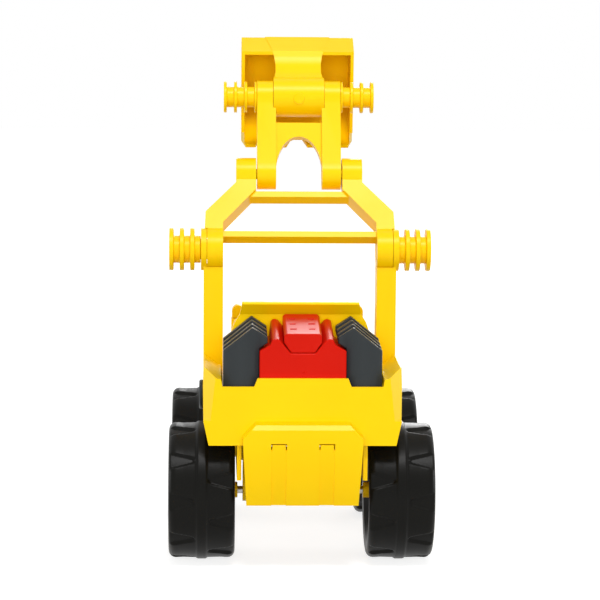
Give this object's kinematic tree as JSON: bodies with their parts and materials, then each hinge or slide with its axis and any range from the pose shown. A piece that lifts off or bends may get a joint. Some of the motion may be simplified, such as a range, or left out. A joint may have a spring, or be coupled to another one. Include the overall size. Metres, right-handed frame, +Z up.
{
  "type": "toy excavator",
  "caption": "Wheeled toy excavator with an open cab and a hand-moved boom: lower arms, fork, stick and toothed bucket on hinges, turned by finned grip knobs.",
  "frame": {"origin": "on the ground under the middle of the whole toy", "axes": "+Z up, +Y towards the toy's front, +X towards its right"},
  "size_m": [0.2076, 0.3036, 0.4055],
  "materials": {
    "yellow": "satin moulded plastic",
    "red": "satin moulded plastic",
    "grey": "matte moulded plastic",
    "black": "matte moulded plastic",
    "steel": "plated wire rod"
  },
  "bodies": {
    "vehicle": {"chassis_frame": "yellow", "rear_body": "yellow", "rear_bumper": "yellow", "cab": "yellow", "front_hood": "yellow", "front_bumper": "yellow", "engine_cover": "red", "engine_vent_block": "red", "driver_seat": "grey", "rear_axle": "steel", "front_axle": "steel", "left_lamp_pod": "yellow", "left_radiator_stack": "grey", "left_arm_pivot_pin": "grey", "rear_left_axle_cap": "steel", "front_left_axle_cap": "steel", "right_lamp_pod": "yellow", "right_radiator_stack": "grey", "right_arm_pivot_pin": "grey", "rear_right_axle_cap": "steel", "front_right_axle_cap": "steel"},
    "rear_left_wheel": {"rear_left_tyre": "black", "rear_left_hub": "yellow"},
    "rear_right_wheel": {"rear_right_tyre": "black", "rear_right_hub": "yellow"},
    "front_left_wheel": {"front_left_tyre": "black", "front_left_hub": "yellow"},
    "front_right_wheel": {"front_right_tyre": "black", "front_right_hub": "yellow"},
    "lower_arms": {"left_lower_arm": "yellow", "right_lower_arm": "yellow"},
    "fork": {"boom_fork": "yellow", "left_elbow_knob": "yellow", "right_elbow_knob": "yellow", "left_stick_pin": "yellow", "right_stick_pin": "yellow"},
    "stick": {"dipper_stick": "yellow"},
    "bucket_group": {"bucket": "yellow", "left_bucket_knob": "yellow", "right_bucket_knob": "yellow"}
  },
  "joints": [
    {"name": "rear_left_wheel_spin", "type": "hinge", "parent": "vehicle", "child": "rear_left_wheel", "pos_m": [-0.07725, -0.084, 0.054], "axis": [1, 0, 0], "continuous": true},
    {"name": "rear_right_wheel_spin", "type": "hinge", "parent": "vehicle", "child": "rear_right_wheel", "pos_m": [0.07725, -0.084, 0.054], "axis": [1, 0, 0], "continuous": true},
    {"name": "front_left_wheel_spin", "type": "hinge", "parent": "vehicle", "child": "front_left_wheel", "pos_m": [-0.07725, 0.096, 0.054], "axis": [1, 0, 0], "continuous": true},
    {"name": "front_right_wheel_spin", "type": "hinge", "parent": "vehicle", "child": "front_right_wheel", "pos_m": [0.07725, 0.096, 0.054], "axis": [1, 0, 0], "continuous": true},
    {"name": "arm_lift", "type": "hinge", "parent": "vehicle", "child": "lower_arms", "pos_m": [0, -0.034, 0.122], "axis": [-1, 0, 0], "range_deg": [-6, 60]},
    {"name": "elbow", "type": "hinge", "parent": "lower_arms", "child": "fork", "pos_m": [0, -0.036, 0.239], "axis": [1, 0, 0], "range_deg": [-45, 30]},
    {"name": "stick_swing", "type": "hinge", "parent": "fork", "child": "stick", "pos_m": [0, -0.00007, 0.2965], "axis": [-1, 0, 0], "range_deg": [-35, 60]},
    {"name": "bucket_curl", "type": "hinge", "parent": "stick", "child": "bucket_group", "pos_m": [0, 0.02393, 0.35744], "axis": [1, 0, 0], "range_deg": [-40, 75]}
  ]
}
